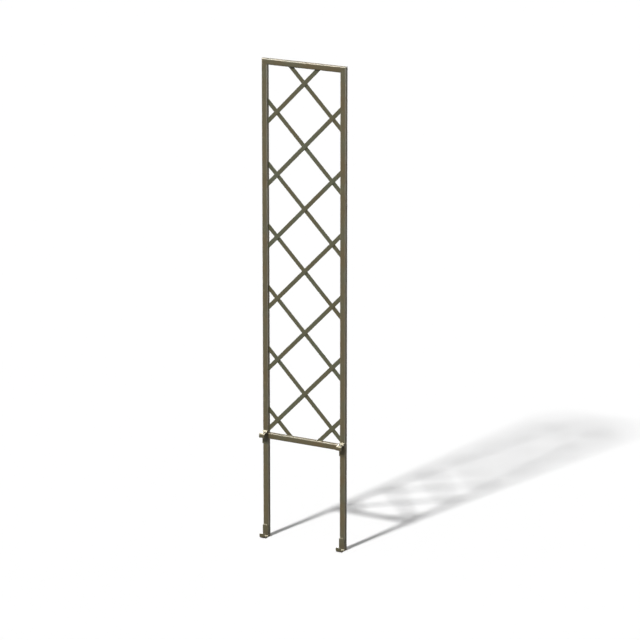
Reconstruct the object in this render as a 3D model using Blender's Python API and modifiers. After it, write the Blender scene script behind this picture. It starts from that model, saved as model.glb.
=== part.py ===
"""Garden trellis: a welded tube frame on two legs, a diagonal lattice and four bent hooks.

Units are metres and +Z is up. X runs to the right along the panel, Y runs from its front to its back.
The origin is on the floor, in the middle of the trellis' width and depth.
"""

import math

import bmesh
import bpy
from mathutils import Matrix, Vector

# Frame
TOTAL_HEIGHT = 2.000
FRAME_WIDTH = 0.387
LOWER_RAIL_UNDERSIDE = 0.422

# Rectangular tube of the posts and the rails
TUBE_FACE = 0.025
TUBE_DEPTH = 0.020
TUBE_WALL = 0.0015
TUBE_RADIUS = 0.005

# Lattice of flat bars, in two layers that touch at half the depth of the tube
BAR_WIDTH = 0.0175
BAR_THICKNESS = 0.0025
BAR_EDGE = 0.0004
BAR_ANGLE = math.radians(45)
BARS_EACH_WAY = 7
FIRST_CROSSING_BELOW_TOP_RAIL = 0.062
LAST_CROSSING_BELOW_OPENING = 0.070

# Hooks of bent flat strip, the same for the rim and for the foot
HOOK_WIDTH = 0.025
HOOK_THICKNESS = 0.003
HOOK_REACH = 0.030
HOOK_PLATE = 0.050
HOOK_LIP = 0.019
HOOK_BEND = 0.009
HOOK_EDGE = 0.0004
RIM_HOOK_ABOVE_RAIL = 0.004
FOOT_HOOK_ABOVE_FLOOR = 0.001

# Plugs in the open lower ends of the posts
PLUG_HEIGHT = 0.015
PLUG_WALL = 0.0015
PLUG_BASE = 0.002

# Space left between pieces that touch
GAP = 0.0003

# Smoothness
ARC_STEPS = 6
EDGE_STEPS = 2
WELD_DISTANCE = 0.00005
SMOOTH_ANGLE = math.radians(30)

# Places that follow from the sizes
FRONT_Y = (HOOK_REACH - TUBE_DEPTH) / 2
MIDDLE_Y = FRONT_Y + TUBE_DEPTH / 2
POST_X = (FRAME_WIDTH - TUBE_FACE) / 2
OPENING_HALF_WIDTH = FRAME_WIDTH / 2 - TUBE_FACE
OPENING_BOTTOM = LOWER_RAIL_UNDERSIDE + TUBE_FACE
OPENING_TOP = TOTAL_HEIGHT - TUBE_FACE
FIRST_CROSSING_Z = OPENING_TOP - FIRST_CROSSING_BELOW_TOP_RAIL
LAST_CROSSING_Z = OPENING_BOTTOM - LAST_CROSSING_BELOW_OPENING
CROSSING_PITCH = (FIRST_CROSSING_Z - LAST_CROSSING_Z) / (BARS_EACH_WAY - 1)
RIM_HOOK_TOP = OPENING_BOTTOM + RIM_HOOK_ABOVE_RAIL

# Directions in an outline
UP = math.tau / 4
LEFT = math.tau / 2
DOWN = LEFT + UP
RIGHT = math.tau

# Colours, linear
PAINT = (0.127, 0.109, 0.071)
PLUG_BLACK = (0.012, 0.012, 0.012)


def empty_scene():
    for thing in list(bpy.data.objects):
        bpy.data.objects.remove(thing, do_unlink=True)


def new_collection(name):
    collection = bpy.data.collections.new(name)
    bpy.context.scene.collection.children.link(collection)
    return collection


def material(name, colour, metallic, roughness):
    result = bpy.data.materials.new(name)
    result.use_nodes = True
    shader = result.node_tree.nodes["Principled BSDF"]
    shader.inputs["Base Color"].default_value = (*colour, 1)
    shader.inputs["Metallic"].default_value = metallic
    shader.inputs["Roughness"].default_value = roughness
    return result


def painted_metal(name):
    return material(name + "_paint", PAINT, 0.6, 0.4)


def black_plastic(name):
    return material(name + "_plastic", PLUG_BLACK, 0.0, 0.55)


def arc(centre, radius, start, end):
    """Points along an arc, with both of its ends."""
    angles = [start + (end - start) * step / ARC_STEPS for step in range(ARC_STEPS + 1)]
    return [(centre[0] + radius * math.cos(a), centre[1] + radius * math.sin(a)) for a in angles]


def rounded_rectangle(width, depth, radius):
    """The outline of a rectangle about the origin with round corners."""
    points = []
    for corner, (side_x, side_y) in enumerate(((1, 1), (-1, 1), (-1, -1), (1, -1))):
        centre = (side_x * (width / 2 - radius), side_y * (depth / 2 - radius))
        start = corner * UP
        points += arc(centre, radius, start, start + UP)
    return points


def extruded(name, outlines, length, placing, collection):
    """A solid of one or more flat outlines, length long, half of it on each side of its plane."""
    curve = bpy.data.curves.new(name, "CURVE")
    curve.dimensions = "2D"
    curve.fill_mode = "BOTH"
    curve.extrude = length / 2
    for outline in outlines:
        spline = curve.splines.new("POLY")
        spline.points.add(len(outline) - 1)
        for point, (x, y) in zip(spline.points, outline):
            point.co = (x, y, 0, 1)
        spline.use_cyclic_u = True
    shape = bpy.data.objects.new(name, curve)
    collection.objects.link(shape)
    shape.matrix_world = placing
    return curve_to_mesh(shape, collection)


def curve_to_mesh(shape, collection):
    """Replaces a curve object with a mesh object of the same name and place."""
    name = shape.name
    bpy.context.view_layer.update()
    evaluated = shape.evaluated_get(bpy.context.evaluated_depsgraph_get())
    mesh = bpy.data.meshes.new_from_object(evaluated)
    placing = shape.matrix_world.copy()
    bpy.data.objects.remove(shape, do_unlink=True)
    work = bmesh.new()
    work.from_mesh(mesh)
    bmesh.ops.remove_doubles(work, verts=work.verts, dist=WELD_DISTANCE)
    bmesh.ops.recalc_face_normals(work, faces=work.faces)
    work.to_mesh(mesh)
    work.free()
    solid = bpy.data.objects.new(name, mesh)
    collection.objects.link(solid)
    solid.matrix_world = placing
    return solid


def box(name, size, collection):
    """A box about the origin, with its size in its mesh and not in its scale."""
    mesh = bpy.data.meshes.new(name)
    work = bmesh.new()
    bmesh.ops.create_cube(work, size=1)
    bmesh.ops.scale(work, vec=Vector(size), verts=work.verts)
    work.to_mesh(mesh)
    work.free()
    solid = bpy.data.objects.new(name, mesh)
    collection.objects.link(solid)
    return solid


def as_cutter(solid):
    solid.hide_render = True
    solid.display_type = "WIRE"
    return solid


def cut(solid, cutter, operation="DIFFERENCE"):
    modifier = solid.modifiers.new(cutter.name, "BOOLEAN")
    modifier.operation = operation
    modifier.solver = "EXACT"
    modifier.object = cutter


def round_edges(solid, width):
    modifier = solid.modifiers.new("rounded_edges", "BEVEL")
    modifier.width = width
    modifier.segments = EDGE_STEPS
    modifier.limit_method = "ANGLE"
    modifier.angle_limit = SMOOTH_ANGLE


def finish(solid, surface):
    """Gives the piece its material, and shades its round faces smooth and its flat ones flat."""
    solid.data.materials.clear()
    solid.data.materials.append(surface)
    solid.data.shade_smooth()
    solid.data.set_sharp_from_angle(angle=SMOOTH_ANGLE)
    modifier = solid.modifiers.new("flat_face_shading", "WEIGHTED_NORMAL")
    modifier.keep_sharp = True


def tube(name, length, placing, collection):
    """Hollow rectangular tube, open at both ends, with its length along its own Z axis."""
    outside = rounded_rectangle(TUBE_FACE, TUBE_DEPTH, TUBE_RADIUS)
    inside = rounded_rectangle(TUBE_FACE - 2 * TUBE_WALL, TUBE_DEPTH - 2 * TUBE_WALL, TUBE_RADIUS - TUBE_WALL)
    return extruded(name, [outside, inside], length, placing, collection)


def lying_along_x(x, y, z):
    """Placing of a tube that runs along X with its wide face to the front."""
    return Matrix.Translation((x, y, z)) @ Matrix.Rotation(math.pi / 2, 4, "Y")


def mitre_cutter(name, side, above, collection):
    """Takes away what lies above, or below, the mitre plane of a top corner."""
    size = 3 * TUBE_FACE
    block = as_cutter(box(name, (size, size, size), collection))
    middle = Vector((side * POST_X, MIDDLE_Y, TOTAL_HEIGHT - TUBE_FACE / 2))
    direction = Vector((-side, 0, 1)).normalized() * (1 if above else -1)
    block.location = middle + direction * (size - GAP) / 2
    block.rotation_euler.y = math.pi / 4
    return block


def post(name, side, parts, cutters):
    placing = Matrix.Translation((side * POST_X, MIDDLE_Y, TOTAL_HEIGHT / 2))
    solid = tube(name, TOTAL_HEIGHT, placing, parts)
    cut(solid, mitre_cutter(name + "_mitre", side, True, cutters))
    finish(solid, painted_metal(name))


def top_rail(parts, cutters):
    placing = lying_along_x(0, MIDDLE_Y, TOTAL_HEIGHT - TUBE_FACE / 2)
    solid = tube("top_rail", FRAME_WIDTH, placing, parts)
    for side in (-1, 1):
        cut(solid, mitre_cutter("top_rail_mitre", side, False, cutters))
    finish(solid, painted_metal("top_rail"))


def lower_rail(parts, cutters):
    """Runs between the posts, with its ends coped round their rounded corners."""
    placing = lying_along_x(0, MIDDLE_Y, LOWER_RAIL_UNDERSIDE + TUBE_FACE / 2)
    solid = tube("lower_rail", 2 * POST_X, placing, parts)
    outline = rounded_rectangle(TUBE_FACE + 2 * GAP, TUBE_DEPTH + 2 * GAP, TUBE_RADIUS + GAP)
    for side in (-1, 1):
        place = Matrix.Translation((side * POST_X, MIDDLE_Y, placing.translation.z))
        cutter = extruded("post_cope", [outline], 2 * TUBE_FACE, place, cutters)
        cut(solid, as_cutter(cutter))
    finish(solid, painted_metal("lower_rail"))


def opening_block(cutters):
    """The space inside the frame, less the gap, which trims the lattice bars."""
    height = OPENING_TOP - OPENING_BOTTOM
    block = box("frame_opening", (2 * (OPENING_HALF_WIDTH - GAP), 2 * TUBE_DEPTH, height - 2 * GAP), cutters)
    block.location = (0, MIDDLE_Y, OPENING_BOTTOM + height / 2)
    return as_cutter(block)


def lattice_bar(name, number, rises, opening, parts):
    """One flat bar: a long bar through its crossing on the centre line, trimmed to the opening."""
    length = 2 * (FRAME_WIDTH / math.cos(BAR_ANGLE))
    solid = box(name, (length, BAR_THICKNESS, BAR_WIDTH), parts)
    layer = (BAR_THICKNESS + GAP) / 2 * (-1 if rises else 1)
    solid.location = (0, MIDDLE_Y + layer, FIRST_CROSSING_Z - (number - 1) * CROSSING_PITCH)
    solid.rotation_euler.y = -BAR_ANGLE if rises else BAR_ANGLE
    round_edges(solid, BAR_EDGE)
    cut(solid, opening, "INTERSECT")
    finish(solid, painted_metal(name))


def hook_outline():
    """Side view of a hook: x is forward from the post, y is from the strap's outer face to its lip."""
    inner = HOOK_BEND - HOOK_THICKNESS
    rear_bend = (GAP + HOOK_BEND, HOOK_BEND)
    front_bend = (HOOK_REACH - HOOK_BEND, HOOK_BEND)
    outside = [(GAP, HOOK_PLATE)]
    outside += arc(rear_bend, HOOK_BEND, LEFT, DOWN)
    outside += arc(front_bend, HOOK_BEND, DOWN, RIGHT)
    outside += [(HOOK_REACH, HOOK_LIP)]
    inside = [(HOOK_REACH - HOOK_THICKNESS, HOOK_LIP)]
    inside += arc(front_bend, inner, RIGHT, DOWN)
    inside += arc(rear_bend, inner, DOWN, LEFT)
    inside += [(GAP + HOOK_THICKNESS, HOOK_PLATE)]
    return outside + inside


def hook(name, side, strap_z, legs_up, parts):
    """Bent strip on the front of a post, with its plate and lip up or down from the strap."""
    up = 1 if legs_up else -1
    axes = Matrix(((0, 0, -up, 0), (-1, 0, 0, 0), (0, up, 0, 0), (0, 0, 0, 1)))
    placing = Matrix.Translation((side * POST_X, FRONT_Y, strap_z)) @ axes
    solid = extruded(name, [hook_outline()], HOOK_WIDTH, placing, parts)
    round_edges(solid, HOOK_EDGE)
    finish(solid, painted_metal(name))


def foot_plug(name, side, parts, cutters):
    """Plastic cup pressed into the lower end of a post, flush with it."""
    clearance = TUBE_WALL + GAP
    width = TUBE_FACE - 2 * clearance
    depth = TUBE_DEPTH - 2 * clearance
    radius = TUBE_RADIUS - clearance
    outside = rounded_rectangle(width, depth, radius)
    hollow = rounded_rectangle(width - 2 * PLUG_WALL, depth - 2 * PLUG_WALL, radius - PLUG_WALL)
    middle = Vector((side * POST_X, MIDDLE_Y, PLUG_HEIGHT / 2))
    solid = extruded(name, [outside], PLUG_HEIGHT, Matrix.Translation(middle), parts)
    above = middle + Vector((0, 0, PLUG_BASE))
    cutter = extruded(name + "_hollow", [hollow], PLUG_HEIGHT, Matrix.Translation(above), cutters)
    cut(solid, as_cutter(cutter))
    finish(solid, black_plastic(name))


def build():
    empty_scene()
    parts = new_collection("garden_trellis")
    cutters = new_collection("cutters")
    post("left_post", -1, parts, cutters)
    post("right_post", 1, parts, cutters)
    top_rail(parts, cutters)
    lower_rail(parts, cutters)
    opening = opening_block(cutters)
    for number in range(1, BARS_EACH_WAY + 1):
        lattice_bar("rising_bar_%d" % number, number, True, opening, parts)
        lattice_bar("falling_bar_%d" % number, number, False, opening, parts)
    for side, side_name in ((-1, "left"), (1, "right")):
        hook(side_name + "_rim_hook", side, RIM_HOOK_TOP, False, parts)
        hook(side_name + "_foot_hook", side, FOOT_HOOK_ABOVE_FLOOR, True, parts)
        foot_plug(side_name + "_foot_plug", side, parts, cutters)


build()
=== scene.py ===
"""Looks of the garden trellis: satin powder coat on welded tube, flat bars and bent strip."""

import math

import bpy
from mathutils import Matrix, Vector


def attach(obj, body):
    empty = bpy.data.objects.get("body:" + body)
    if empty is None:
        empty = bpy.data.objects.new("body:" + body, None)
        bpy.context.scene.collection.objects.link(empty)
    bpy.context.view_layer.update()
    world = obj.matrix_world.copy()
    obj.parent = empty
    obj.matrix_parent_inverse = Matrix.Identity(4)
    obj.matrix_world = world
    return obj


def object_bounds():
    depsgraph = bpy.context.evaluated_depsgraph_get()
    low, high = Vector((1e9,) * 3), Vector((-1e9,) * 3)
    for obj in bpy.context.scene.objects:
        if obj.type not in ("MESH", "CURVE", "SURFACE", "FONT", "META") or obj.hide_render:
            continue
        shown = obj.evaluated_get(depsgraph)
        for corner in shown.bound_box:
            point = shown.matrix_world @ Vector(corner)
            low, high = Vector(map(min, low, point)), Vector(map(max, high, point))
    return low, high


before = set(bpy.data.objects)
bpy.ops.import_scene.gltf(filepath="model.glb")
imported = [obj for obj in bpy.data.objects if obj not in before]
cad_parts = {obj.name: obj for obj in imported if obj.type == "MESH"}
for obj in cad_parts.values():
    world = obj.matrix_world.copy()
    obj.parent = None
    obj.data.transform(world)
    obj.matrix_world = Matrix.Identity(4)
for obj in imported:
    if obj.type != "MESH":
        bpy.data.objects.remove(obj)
CAD_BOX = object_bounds()

# Camera, set so that the picture's frame is the photograph's
CAMERA_AZIMUTH = math.radians(30.276)
CAMERA_ELEVATION = math.radians(14.849)
CAMERA_DISTANCE = 14.647
CAMERA_TARGET = Vector((0.07714, 0.00555, 0.95708))
CAMERA_LENS = 205.08
CAMERA_SENSOR = 36
CAMERA_CLIP_END = 200

# Light: one small high lamp in front and a plain white surrounding
SUN_AZIMUTH = math.radians(-6.8)
SUN_ELEVATION = math.radians(43.1)
SUN_ANGLE = math.radians(5.3)
SUN_STRENGTH = 3.75
AMBIENT = 0.30
FLOOR_HALF = 60
FLOOR_COLOUR = (0.9, 0.9, 0.9, 1)
FLOOR_BOUNCE = (0.25, 0.25, 0.25, 1)
FLOOR_ROUGHNESS = 0.9

# Soft boxes: azimuth and elevation in degrees, distance, width and height in metres, and radiance.
# The fill gives no gloss. The others give only gloss, on every piece or on those that they are named for.
BOX_AIM_Z = 1.1
FRONT_BOX = (-62, 47, 30, 22.5, 40, 68)
TOP_BOX = (-105, 58, 30, 22.5, 22.5, 9)
SIDE_BOX = (150, 4, 14, 8, 6, 4.5)
POST_BOX = (68, 7, 40, 10, 10, 560)
HOOK_BOX = (-150, 12, 14, 8, 6, 36)
FILL_BOX = (180, 25, 14, 12, 10, 4)

# Paint, linear colours
BRONZE = (0.0900, 0.0755, 0.0415)
OLIVE = (0.0810, 0.0775, 0.0450)
HOOK_BRONZE = (0.0845, 0.0730, 0.0425)
PAINT_ROUGHNESS = 0.40
ROUGHNESS_CHANGE = 0.04
PAINT_SPECULAR = 0.12
PAINT_GLOSS_TINT = (1.00, 0.96, 0.86, 1)
HOOK_GLOSS_TINT = (1.00, 0.93, 0.72, 1)
WARM = (1.09, 0.99, 0.92)
COOL = (0.92, 1.01, 1.05)
CLOUD_SCALE = 11
CLOUD_DETAIL = 3
SHADE_RANGE = (0.35, 0.65)
GLOSS_RANGE = (0.3, 0.7)
FLAKE_SCALE = 2600
FLAKE_CONTRAST = 0.10
PEEL_SCALE = 800
PEEL_DETAIL = 1
PEEL_HEIGHT = 0.00005

# Moulded plastic
PLUG_BLACK = (0.012, 0.012, 0.012)
WORN = (1.5, 1.5, 1.5)
WEAR_SCALE = 60
PLASTIC_ROUGHNESS = (0.5, 0.62)
GRAIN_SCALE = 3000
GRAIN_DETAIL = 2
GRAIN_HEIGHT = 0.00004

# Each material's own place in the patterns
FRAME_SEED = 0.0
LATTICE_SEED = 3.1
HOOK_SEED = 5.3
PLUG_SEED = 7.9
SEED_SHIFT = (1, 1.7, 0.6)

# Smooth shading
SMOOTH_ANGLE = math.radians(30)
WELD_DISTANCE = 0.00001

# Sizes of the frame that the welds follow, as the solids have them
TUBE_FACE = 0.025
TUBE_DEPTH = 0.020
TUBE_RADIUS = 0.005
POST_X = CAD_BOX[1][0] - TUBE_FACE / 2
POST_INNER_SIDE = POST_X - TUBE_FACE / 2
POST_CORNER_X = POST_INNER_SIDE + TUBE_RADIUS
MIDDLE_Y = 0.015
POST_FRONT_Y = MIDDLE_Y - TUBE_DEPTH / 2
OPENING_BOTTOM = 0.447
OPENING_TOP = CAD_BOX[1][2] - TUBE_FACE
RAIL_MIDDLE_Z = OPENING_BOTTOM - TUBE_FACE / 2
FIRST_CROSSING_Z = 1.913
CROSSING_PITCH = 0.256
BARS_EACH_WAY = 7
BAR_WIDTH = 0.0175
BAR_THICKNESS = 0.0025
HALF_GAP = 0.00015
RISING_FACES = (MIDDLE_Y - HALF_GAP - BAR_THICKNESS, MIDDLE_Y - HALF_GAP)
FALLING_FACES = (MIDDLE_Y + HALF_GAP, MIDDLE_Y + HALF_GAP + BAR_THICKNESS)
RIM_STRAP_TOP = 0.451
FOOT_STRAP_UNDERSIDE = 0.001
HOOK_PLATE = 0.050
PLATE_BACK_Y = POST_FRONT_Y - 2 * HALF_GAP

# Every weld bead: its ripples, its sides, and how much of its radius the open ends keep
RIPPLE_PITCH = 0.0016
RIPPLE_DEPTH = 0.07
STEPS_PER_RIPPLE = 3
BEAD_SIDES = 10
BEAD_TIP = 0.35
BEAD_SHOULDER = 0.85

# A direction that no bead follows, from which the sides of every bead are turned
ASKEW = Vector((0.31, 0.67, 0.53))

# Beads at the ends of the bars, and spots where the bars cross
LATTICE_BEAD = 0.0013
LATTICE_BEAD_SHORT = 0.0010
LATTICE_BEAD_OUT = 0.0003
SPOT_RADIUS = 0.0042
SPOT_HALF_HEIGHT = 0.0003
SPOT_SIDES = 16

# Beads of the frame
CORNER_STEPS = 6
RAIL_BEAD = 0.0013
RAIL_FLUSH_BEAD = 0.0008
RAIL_BEAD_STANDS_OUT = 0.85
MITRE_BEAD = 0.00035
MITRE_INSET = 0.00036
MITRE_STEP = 0.0008

# Beads round the hooks' plates
PLATE_SIDE_BEAD = 0.0014
PLATE_SIDE_BEAD_X = 0.0109
PLATE_SIDE_BEAD_Y = 0.0060
PLATE_SIDE_BEAD_START = 0.011
PLATE_SIDE_BEAD_SHORT = 0.003
PLATE_END_BEAD = 0.0030
PLATE_END_BEAD_BEYOND = 0.0002
PLATE_END_BEAD_HALF = 0.0085

# Fillet on a rim strap, which starts inside the strap and ends inside the post
STRAP_FILLET_FORWARD = 0.0115
STRAP_FILLET_UP = 0.0105
STRAP_FILLET_FLATNESS = 1.7
STRAP_FILLET_RIPPLE = 0.026
STRAP_FILLET_ENDS = 0.85
STRAP_FILLET_HALF = 0.0115
STRAP_FILLET_SIDES = 8
STRAP_FILLET_START = math.radians(8)
STRAP_FILLET_TURN = math.radians(76)
STRAP_FILLET_BACK_Y = POST_FRONT_Y + 0.0015
STRAP_FILLET_DROP = 0.0030
FILLET_HEEL_Y = POST_FRONT_Y + 0.0005
FILLET_HEEL_DROP = 0.0040
FILLET_TOE_Y = 0.0010
FILLET_TOE_DROP = 0.0035


def direction(azimuth, elevation):
    """Towards a point at that azimuth, counted from the front to the right, and that elevation."""
    level = math.cos(elevation)
    return Vector((math.sin(azimuth) * level, -math.cos(azimuth) * level, math.sin(elevation)))


def make_camera():
    back = direction(CAMERA_AZIMUTH, CAMERA_ELEVATION)
    right = Vector((math.cos(CAMERA_AZIMUTH), math.sin(CAMERA_AZIMUTH), 0))
    turn = Matrix((right, back.cross(right), back)).transposed().to_4x4()
    data = bpy.data.cameras.new("camera")
    data.sensor_width = CAMERA_SENSOR
    data.lens = CAMERA_LENS
    data.clip_end = CAMERA_CLIP_END
    camera = bpy.data.objects.new("camera", data)
    bpy.context.scene.collection.objects.link(camera)
    camera.matrix_world = Matrix.Translation(CAMERA_TARGET + back * CAMERA_DISTANCE) @ turn
    bpy.context.scene.camera = camera


def make_sun():
    data = bpy.data.lights.new("sun", "SUN")
    data.energy = SUN_STRENGTH
    data.angle = SUN_ANGLE
    sun = bpy.data.objects.new("sun", data)
    bpy.context.scene.collection.objects.link(sun)
    sun.rotation_euler = direction(SUN_AZIMUTH, SUN_ELEVATION).to_track_quat("Z", "Y").to_euler()


def make_box(name, azimuth, elevation, distance, width, height, radiance):
    """A soft box lamp that faces the frame and isn't seen itself."""
    data = bpy.data.lights.new(name, "AREA")
    data.shape = "RECTANGLE"
    data.size = width
    data.size_y = height
    data.energy = radiance * math.pi * width * height
    box = bpy.data.objects.new(name, data)
    bpy.context.scene.collection.objects.link(box)
    towards = direction(math.radians(azimuth), math.radians(elevation))
    box.rotation_euler = towards.to_track_quat("Z", "Y").to_euler()
    box.location = Vector((0, 0, BOX_AIM_Z)) + towards * distance
    box.visible_camera = False
    return box


def make_gloss_box(name, settings):
    """A soft box that shows in the paint's gloss and lights nothing else."""
    box = make_box(name, *settings)
    box.visible_diffuse = False
    return box


def make_fill_box(name, settings):
    """A soft box that lifts a shaded side and stays out of the gloss."""
    box = make_box(name, *settings)
    box.visible_glossy = False
    return box


def shine_only_on(box, things):
    """Keeps a lamp to some objects, as a photographer's flags do."""
    lit = bpy.data.collections.new(box.name + "_lit")
    for thing in things:
        lit.objects.link(thing)
    box.light_linking.receiver_collection = lit


def seen_or_mirrored(nodes, links):
    """One for what the camera sees, also in gloss or through glass, and zero for what only gives light."""
    path = nodes.new("ShaderNodeLightPath")
    seen = path.outputs["Is Camera Ray"]
    for other in ("Is Glossy Ray", "Is Transmission Ray"):
        either = nodes.new("ShaderNodeMath")
        either.operation = "MAXIMUM"
        links.new(seen, either.inputs[0])
        links.new(path.outputs[other], either.inputs[1])
        seen = either.outputs["Value"]
    return seen


def make_world():
    """White where it is seen or mirrored, and a plain dim light elsewhere."""
    world = bpy.data.worlds.new("surrounding")
    world.use_nodes = True
    nodes, links = world.node_tree.nodes, world.node_tree.links
    dim = nodes["Background"]
    dim.inputs["Color"].default_value = (1, 1, 1, 1)
    dim.inputs["Strength"].default_value = AMBIENT
    white = nodes.new("ShaderNodeBackground")
    white.inputs["Color"].default_value = (1, 1, 1, 1)
    white.inputs["Strength"].default_value = 1
    mix = nodes.new("ShaderNodeMixShader")
    links.new(seen_or_mirrored(nodes, links), mix.inputs["Fac"])
    links.new(dim.outputs[0], mix.inputs[1])
    links.new(white.outputs[0], mix.inputs[2])
    links.new(mix.outputs[0], nodes["World Output"].inputs["Surface"])
    bpy.context.scene.world = world


def make_floor():
    """White where it is seen or mirrored, with the object's shadow, and a dark grey where it gives light."""
    mesh = bpy.data.meshes.new("floor")
    corners = [(x * FLOOR_HALF, y * FLOOR_HALF, 0) for x, y in ((-1, -1), (1, -1), (1, 1), (-1, 1))]
    mesh.from_pydata(corners, [], [(0, 1, 2, 3)])
    floor = bpy.data.objects.new("floor", mesh)
    bpy.context.scene.collection.objects.link(floor)
    surface = bpy.data.materials.new("floor")
    surface.use_nodes = True
    nodes, links = surface.node_tree.nodes, surface.node_tree.links
    shader = nodes["Principled BSDF"]
    shader.inputs["Roughness"].default_value = FLOOR_ROUGHNESS
    shader.inputs["Specular IOR Level"].default_value = 0
    colour = nodes.new("ShaderNodeMix")
    colour.data_type = "RGBA"
    colour.inputs["A"].default_value = FLOOR_BOUNCE
    colour.inputs["B"].default_value = FLOOR_COLOUR
    links.new(seen_or_mirrored(nodes, links), colour.inputs["Factor"])
    links.new(colour.outputs["Result"], shader.inputs["Base Color"])
    mesh.materials.append(surface)


def new_surface(name, seed):
    """A material, and its own place in the pattern of every texture."""
    surface = bpy.data.materials.new(name)
    surface.use_nodes = True
    nodes, links = surface.node_tree.nodes, surface.node_tree.links
    place = nodes.new("ShaderNodeTexCoord")
    shift = nodes.new("ShaderNodeMapping")
    shift.inputs["Location"].default_value = tuple(seed * share for share in SEED_SHIFT)
    links.new(place.outputs["Object"], shift.inputs["Vector"])
    return surface, nodes, links, shift.outputs["Vector"]


def add_noise(nodes, links, vector, scale, detail):
    noise = nodes.new("ShaderNodeTexNoise")
    noise.inputs["Scale"].default_value = scale
    noise.inputs["Detail"].default_value = detail
    links.new(vector, noise.inputs["Vector"])
    return noise.outputs["Fac"]


def add_range(nodes, links, value, before, after):
    """Maps one range of a value to another."""
    mapped = nodes.new("ShaderNodeMapRange")
    mapped.inputs["From Min"].default_value = before[0]
    mapped.inputs["From Max"].default_value = before[1]
    mapped.inputs["To Min"].default_value = after[0]
    mapped.inputs["To Max"].default_value = after[1]
    links.new(value, mapped.inputs["Value"])
    return mapped.outputs["Result"]


def add_bump(nodes, links, height, distance):
    bump = nodes.new("ShaderNodeBump")
    bump.inputs["Strength"].default_value = 1
    bump.inputs["Distance"].default_value = distance
    links.new(height, bump.inputs["Height"])
    links.new(bump.outputs["Normal"], nodes["Principled BSDF"].inputs["Normal"])


def tinted(colour, tint):
    return (*(part * factor for part, factor in zip(colour, tint)), 1)


def powder_coat(name, colour, seed, gloss_tint):
    """Satin powder coat: orange peel, fine flakes, and slow changes of shade and gloss."""
    surface, nodes, links, vector = new_surface(name, seed)
    shader = nodes["Principled BSDF"]
    clouds = add_noise(nodes, links, vector, CLOUD_SCALE, CLOUD_DETAIL)
    shade = nodes.new("ShaderNodeMix")
    shade.data_type = "RGBA"
    shade.inputs["A"].default_value = tinted(colour, WARM)
    shade.inputs["B"].default_value = tinted(colour, COOL)
    links.new(add_range(nodes, links, clouds, SHADE_RANGE, (0, 1)), shade.inputs["Factor"])
    flakes = nodes.new("ShaderNodeTexVoronoi")
    flakes.inputs["Scale"].default_value = FLAKE_SCALE
    links.new(vector, flakes.inputs["Vector"])
    glints = (1 - FLAKE_CONTRAST, 1 + FLAKE_CONTRAST)
    glint = add_range(nodes, links, flakes.outputs["Color"], (0, 1), glints)
    shader.inputs["Specular IOR Level"].default_value = PAINT_SPECULAR
    shader.inputs["Specular Tint"].default_value = gloss_tint
    flaked = nodes.new("ShaderNodeVectorMath")
    flaked.operation = "SCALE"
    links.new(shade.outputs["Result"], flaked.inputs["Vector"])
    links.new(glint, flaked.inputs["Scale"])
    links.new(flaked.outputs["Vector"], shader.inputs["Base Color"])
    roughness = (PAINT_ROUGHNESS - ROUGHNESS_CHANGE, PAINT_ROUGHNESS + ROUGHNESS_CHANGE)
    links.new(add_range(nodes, links, clouds, GLOSS_RANGE, roughness), shader.inputs["Roughness"])
    add_bump(nodes, links, add_noise(nodes, links, vector, PEEL_SCALE, PEEL_DETAIL), PEEL_HEIGHT)
    return surface


def moulded_plastic(name, colour, seed):
    """Matt moulded plastic with a fine spark-eroded grain."""
    surface, nodes, links, vector = new_surface(name, seed)
    shader = nodes["Principled BSDF"]
    clouds = add_noise(nodes, links, vector, WEAR_SCALE, CLOUD_DETAIL)
    shade = nodes.new("ShaderNodeMix")
    shade.data_type = "RGBA"
    shade.inputs["A"].default_value = (*colour, 1)
    shade.inputs["B"].default_value = tinted(colour, WORN)
    links.new(clouds, shade.inputs["Factor"])
    links.new(shade.outputs["Result"], shader.inputs["Base Color"])
    links.new(add_range(nodes, links, clouds, GLOSS_RANGE, PLASTIC_ROUGHNESS), shader.inputs["Roughness"])
    add_bump(nodes, links, add_noise(nodes, links, vector, GRAIN_SCALE, GRAIN_DETAIL), GRAIN_HEIGHT)
    return surface


def smooth_shading_group():
    """Shades faces smooth, and keeps edges sharper than the smooth angle sharp."""
    group = bpy.data.node_groups.new("smooth_shading", "GeometryNodeTree")
    group.interface.new_socket("Geometry", in_out="INPUT", socket_type="NodeSocketGeometry")
    group.interface.new_socket("Geometry", in_out="OUTPUT", socket_type="NodeSocketGeometry")
    nodes, links = group.nodes, group.links
    start = nodes.new("NodeGroupInput")
    end = nodes.new("NodeGroupOutput")
    faces = nodes.new("GeometryNodeSetShadeSmooth")
    faces.domain = "FACE"
    faces.inputs["Shade Smooth"].default_value = True
    edges = nodes.new("GeometryNodeSetShadeSmooth")
    edges.domain = "EDGE"
    angle = nodes.new("GeometryNodeInputMeshEdgeAngle")
    gentle = nodes.new("FunctionNodeCompare")
    gentle.data_type = "FLOAT"
    gentle.operation = "LESS_THAN"
    gentle.inputs["B"].default_value = SMOOTH_ANGLE
    links.new(angle.outputs["Unsigned Angle"], gentle.inputs["A"])
    links.new(start.outputs[0], faces.inputs["Geometry"])
    links.new(faces.outputs[0], edges.inputs["Geometry"])
    links.new(gentle.outputs[0], edges.inputs["Shade Smooth"])
    links.new(edges.outputs[0], end.inputs[0])
    return group


def smooth(node, group):
    weld = node.modifiers.new("join_corners", "WELD")
    weld.merge_threshold = WELD_DISTANCE
    shading = node.modifiers.new("smooth_shading", "NODES")
    shading.node_group = group
    normals = node.modifiers.new("flat_face_shading", "WEIGHTED_NORMAL")
    normals.keep_sharp = True


def stepped(start, end, step):
    """Points from start to end, about one step apart."""
    count = max(2, round((end - start).length / step))
    return [start.lerp(end, k / count) for k in range(count + 1)]


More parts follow.
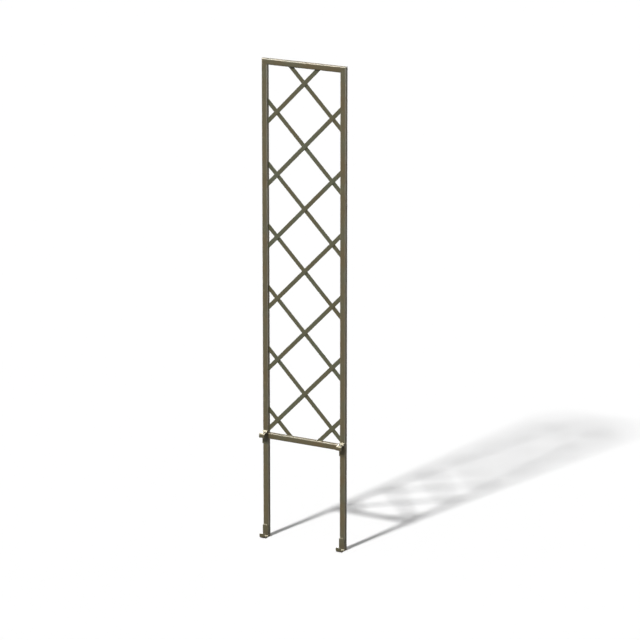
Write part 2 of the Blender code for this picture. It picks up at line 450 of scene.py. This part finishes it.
def along(path, k, closed):
    """The direction of a path at its point k."""
    last = len(path) - 1
    if closed:
        return (path[(k + 1) % len(path)] - path[k - 1]).normalized()
    return (path[min(k + 1, last)] - path[max(k - 1, 0)]).normalized()


def add_bead(shape, path, radii, closed=False):
    """Adds a weld bead: a rippled tube along a path, with round ends where it is open."""
    points, faces = shape
    first = len(points)
    last = len(path) - 1
    for k, (middle, radius) in enumerate(zip(path, radii)):
        forward = along(path, k, closed)
        across = forward.cross(ASKEW).normalized()
        over = forward.cross(across)
        ripple = 1 - RIPPLE_DEPTH * (k % STEPS_PER_RIPPLE == 0)
        if not closed and k in (0, last):
            ripple *= BEAD_TIP
        if not closed and k in (1, last - 1):
            ripple *= BEAD_SHOULDER
        for side in range(BEAD_SIDES):
            turn = math.tau * side / BEAD_SIDES
            points.append(middle + (across * math.cos(turn) + over * math.sin(turn)) * radius * ripple)
    rings = len(path) if closed else last
    for k in range(rings):
        here = first + k * BEAD_SIDES
        there = first + (k + 1) % len(path) * BEAD_SIDES
        for side in range(BEAD_SIDES):
            beside = (side + 1) % BEAD_SIDES
            faces.append((here + side, here + beside, there + beside, there + side))
    if not closed:
        faces.append(tuple(first + side for side in reversed(range(BEAD_SIDES))))
        faces.append(tuple(first + last * BEAD_SIDES + side for side in range(BEAD_SIDES)))


def straight_bead(shape, start, end, radius):
    path = stepped(Vector(start), Vector(end), RIPPLE_PITCH / STEPS_PER_RIPPLE)
    add_bead(shape, path, [radius] * len(path))


def make_piece(name, shape, surface):
    points, faces = shape
    mesh = bpy.data.meshes.new(name)
    mesh.from_pydata([tuple(point) for point in points], [], faces)
    mesh.shade_smooth()
    mesh.materials.append(surface)
    piece = bpy.data.objects.new(name, mesh)
    bpy.context.scene.collection.objects.link(piece)
    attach(piece, "root")
    return piece


def bar_ends(crossing_z, rises):
    """Both ends of a bar's middle line in the opening: x, z, and whether a post or a rail stops it."""
    ends = []
    for side in (-1, 1):
        slope = side if rises else -side
        z = crossing_z + slope * POST_INNER_SIDE
        if z > OPENING_TOP:
            ends.append((side * (OPENING_TOP - crossing_z), OPENING_TOP, False))
        elif z < OPENING_BOTTOM:
            ends.append((side * (crossing_z - OPENING_BOTTOM), OPENING_BOTTOM, False))
        else:
            ends.append((side * POST_INNER_SIDE, z, True))
    return ends


def lattice_end_welds(rises):
    """Short fillets on both faces of every bar, where it meets the frame."""
    shape = ([], [])
    half = BAR_WIDTH / 2 * math.sqrt(2) - LATTICE_BEAD_SHORT
    for number in range(BARS_EACH_WAY):
        crossing_z = FIRST_CROSSING_Z - number * CROSSING_PITCH
        for x, z, on_post in bar_ends(crossing_z, rises):
            reach = Vector((0, 0, half)) if on_post else Vector((half, 0, 0))
            inward = Vector((-math.copysign(HALF_GAP, x), 0, 0)) if on_post else Vector((0, 0, 0))
            for face, outward in zip(RISING_FACES if rises else FALLING_FACES, (-1, 1)):
                middle = Vector((x, face + outward * LATTICE_BEAD_OUT, z)) + inward
                straight_bead(shape, middle - reach, middle + reach, LATTICE_BEAD)
    return shape


def crossings():
    heights = [FIRST_CROSSING_Z - number * CROSSING_PITCH for number in range(BARS_EACH_WAY)]
    for rising_z in heights:
        for falling_z in heights:
            x, z = (falling_z - rising_z) / 2, (falling_z + rising_z) / 2
            inside = OPENING_BOTTOM + BAR_WIDTH < z < OPENING_TOP - BAR_WIDTH
            if inside and abs(x) < POST_INNER_SIDE - BAR_WIDTH:
                yield x, z


def crossing_spots():
    """Small spot welds between the two layers of bars, one at each crossing."""
    points, faces = [], []
    for x, z in crossings():
        first = len(points)
        for y in (MIDDLE_Y + SPOT_HALF_HEIGHT, MIDDLE_Y - SPOT_HALF_HEIGHT):
            for side in range(SPOT_SIDES):
                turn = math.tau * side / SPOT_SIDES
                points.append(Vector((x + SPOT_RADIUS * math.cos(turn), y, z + SPOT_RADIUS * math.sin(turn))))
        for side in range(SPOT_SIDES):
            beside = (side + 1) % SPOT_SIDES
            near, far = first, first + SPOT_SIDES
            faces.append((near + side, near + beside, far + beside, far + side))
        faces.append(tuple(first + side for side in reversed(range(SPOT_SIDES))))
        faces.append(tuple(first + SPOT_SIDES + side for side in range(SPOT_SIDES)))
    return points, faces


def tube_outline(inset):
    """Outline of the tube: offsets along its face and its depth, and how far it points along the face."""
    outline = []
    for corner, (side_w, side_y) in enumerate(((1, 1), (-1, 1), (-1, -1), (1, -1))):
        for step in range(CORNER_STEPS + 1):
            turn = (corner + step / CORNER_STEPS) * math.tau / 4
            w = side_w * (TUBE_FACE / 2 - TUBE_RADIUS) + (TUBE_RADIUS - inset) * math.cos(turn)
            y = side_y * (TUBE_DEPTH / 2 - TUBE_RADIUS) + (TUBE_RADIUS - inset) * math.sin(turn)
            outline.append((w, y, math.cos(turn)))
    return outline


def closed_steps(path, radii, step):
    """The same closed path with points about one step apart."""
    fine, fine_radii = [], []
    for k, start in enumerate(path):
        following = (k + 1) % len(path)
        count = max(1, round((path[following] - start).length / step))
        for part in range(count):
            t = part / count
            fine.append(start.lerp(path[following], t))
            fine_radii.append(radii[k] + (radii[following] - radii[k]) * t)
    return fine, fine_radii


def rail_end_weld(side):
    """Bead round one end of the lower rail: a fillet above and below, ground flush in front and behind."""
    path, radii = [], []
    reach = TUBE_RADIUS + HALF_GAP
    for w, y, facing in tube_outline(0):
        fillet = facing * facing
        radius = RAIL_FLUSH_BEAD + (RAIL_BEAD - RAIL_FLUSH_BEAD) * fillet
        inset = radius * (1 - RAIL_BEAD_STANDS_OUT * fillet)
        depth = min(TUBE_RADIUS, TUBE_DEPTH / 2 - abs(y))
        x = POST_CORNER_X - math.sqrt(reach ** 2 - (TUBE_RADIUS - depth) ** 2)
        y *= 1 - inset / (TUBE_DEPTH / 2)
        w *= 1 - inset / (TUBE_FACE / 2)
        path.append(Vector((side * x, MIDDLE_Y + y, RAIL_MIDDLE_Z + w)))
        radii.append(radius)
    return closed_steps(path, radii, RIPPLE_PITCH / STEPS_PER_RIPPLE)


def mitre_weld(side):
    """Bead ground flush along the mitre between the top rail and a post."""
    path = []
    for w, y, _ in tube_outline(MITRE_INSET):
        path.append(Vector((side * (POST_X + w), MIDDLE_Y + y, OPENING_TOP + TUBE_FACE / 2 + w)))
    return closed_steps(path, [MITRE_BEAD] * len(path), MITRE_STEP)


def frame_welds():
    shape = ([], [])
    for side in (-1, 1):
        add_bead(shape, *rail_end_weld(side), closed=True)
        add_bead(shape, *mitre_weld(side), closed=True)
    return shape


def add_strap_fillet(shape, x, strap_z):
    """Fills the corner between the top of a strap and the post with a rippled, nearly flat fillet."""
    points, faces = shape
    first = len(points)
    steps = round(2 * STRAP_FILLET_HALF / RIPPLE_PITCH * STEPS_PER_RIPPLE)
    # A ring has the curve's points, then the heel and the toe
    ring = STRAP_FILLET_SIDES + 3
    for k in range(steps + 1):
        beside = STRAP_FILLET_HALF * (2 * k / steps - 1)
        beyond_flat = max(0, abs(beside) - (TUBE_FACE / 2 - TUBE_RADIUS))
        recess = TUBE_RADIUS - math.sqrt(TUBE_RADIUS ** 2 - beyond_flat ** 2)
        ripple = 1 - STRAP_FILLET_RIPPLE * (k % STEPS_PER_RIPPLE == 0)
        if k in (0, steps):
            ripple *= STRAP_FILLET_ENDS
        for side in range(STRAP_FILLET_SIDES + 1):
            turn = STRAP_FILLET_START + STRAP_FILLET_TURN * side / STRAP_FILLET_SIDES
            forward = STRAP_FILLET_FORWARD * ripple * math.cos(turn) ** STRAP_FILLET_FLATNESS
            rise = STRAP_FILLET_UP * ripple * math.sin(turn) ** STRAP_FILLET_FLATNESS
            y = STRAP_FILLET_BACK_Y + recess * math.sin(turn) - forward
            points.append(Vector((x + beside, y, strap_z - STRAP_FILLET_DROP + rise)))
        points.append(Vector((x + beside, FILLET_HEEL_Y + recess, strap_z - FILLET_HEEL_DROP)))
        points.append(Vector((x + beside, FILLET_TOE_Y, strap_z - FILLET_TOE_DROP)))
    for k in range(steps):
        here, there = first + k * ring, first + (k + 1) * ring
        for side in range(ring):
            following = (side + 1) % ring
            faces.append((here + following, here + side, there + side, there + following))
    faces.append(tuple(first + side for side in range(ring)))
    faces.append(tuple(first + steps * ring + side for side in reversed(range(ring))))


def hook_welds(side, strap_z, up):
    """Beads along both edges of a hook's plate and across its far end, and the fillet on a rim strap."""
    shape = ([], [])
    x = side * POST_X
    start = strap_z + up * PLATE_SIDE_BEAD_START
    end = strap_z + up * (HOOK_PLATE - PLATE_SIDE_BEAD_SHORT)
    for edge in (-1, 1):
        beside = x + edge * PLATE_SIDE_BEAD_X
        near, far = (beside, PLATE_SIDE_BEAD_Y, start), (beside, PLATE_SIDE_BEAD_Y, end)
        straight_bead(shape, near, far, PLATE_SIDE_BEAD)
    beyond = strap_z + up * (HOOK_PLATE + PLATE_END_BEAD_BEYOND)
    left, right = (x + edge * PLATE_END_BEAD_HALF for edge in (-1, 1))
    straight_bead(shape, (left, PLATE_BACK_Y, beyond), (right, PLATE_BACK_Y, beyond), PLATE_END_BEAD)
    if up < 0:
        add_strap_fillet(shape, x, strap_z)
    return shape


make_camera()
make_sun()
make_gloss_box("gloss_box_front", FRONT_BOX)
make_gloss_box("gloss_box_top", TOP_BOX)
make_gloss_box("gloss_box_side", SIDE_BOX)
make_world()
make_floor()
bpy.context.scene.view_settings.view_transform = "Standard"
frame_paint = powder_coat("frame_paint", BRONZE, FRAME_SEED, PAINT_GLOSS_TINT)
lattice_paint = powder_coat("lattice_paint", OLIVE, LATTICE_SEED, PAINT_GLOSS_TINT)
hook_paint = powder_coat("hook_paint", HOOK_BRONZE, HOOK_SEED, HOOK_GLOSS_TINT)
plug_plastic = moulded_plastic("plug_plastic", PLUG_BLACK, PLUG_SEED)
shading_group = smooth_shading_group()
for name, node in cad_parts.items():
    smooth(node, shading_group)
    surface = frame_paint
    if "_bar_" in name:
        surface = lattice_paint
    if "_hook" in name:
        surface = hook_paint
    if "_plug" in name:
        surface = plug_plastic
    node.data.materials.clear()
    node.data.materials.append(surface)
pieces = [
    make_piece("rising_bar_welds", lattice_end_welds(True), lattice_paint),
    make_piece("falling_bar_welds", lattice_end_welds(False), lattice_paint),
    make_piece("crossing_spots", crossing_spots(), lattice_paint),
    make_piece("frame_welds", frame_welds(), frame_paint),
]
for side_name, side in (("left", -1), ("right", 1)):
    rim = hook_welds(side, RIM_STRAP_TOP, -1)
    foot = hook_welds(side, FOOT_STRAP_UNDERSIDE, 1)
    pieces.append(make_piece(side_name + "_rim_hook_welds", rim, hook_paint))
    pieces.append(make_piece(side_name + "_foot_hook_welds", foot, hook_paint))
shown = list(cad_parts.values()) + pieces
hooks = [thing for thing in shown if "_hook" in thing.name]
posts = [thing for thing in shown if "_post" in thing.name]
shine_only_on(make_fill_box("fill_box", FILL_BOX), shown)
shine_only_on(make_gloss_box("gloss_box_hooks", HOOK_BOX), hooks)
shine_only_on(make_gloss_box("gloss_box_posts", POST_BOX), posts)
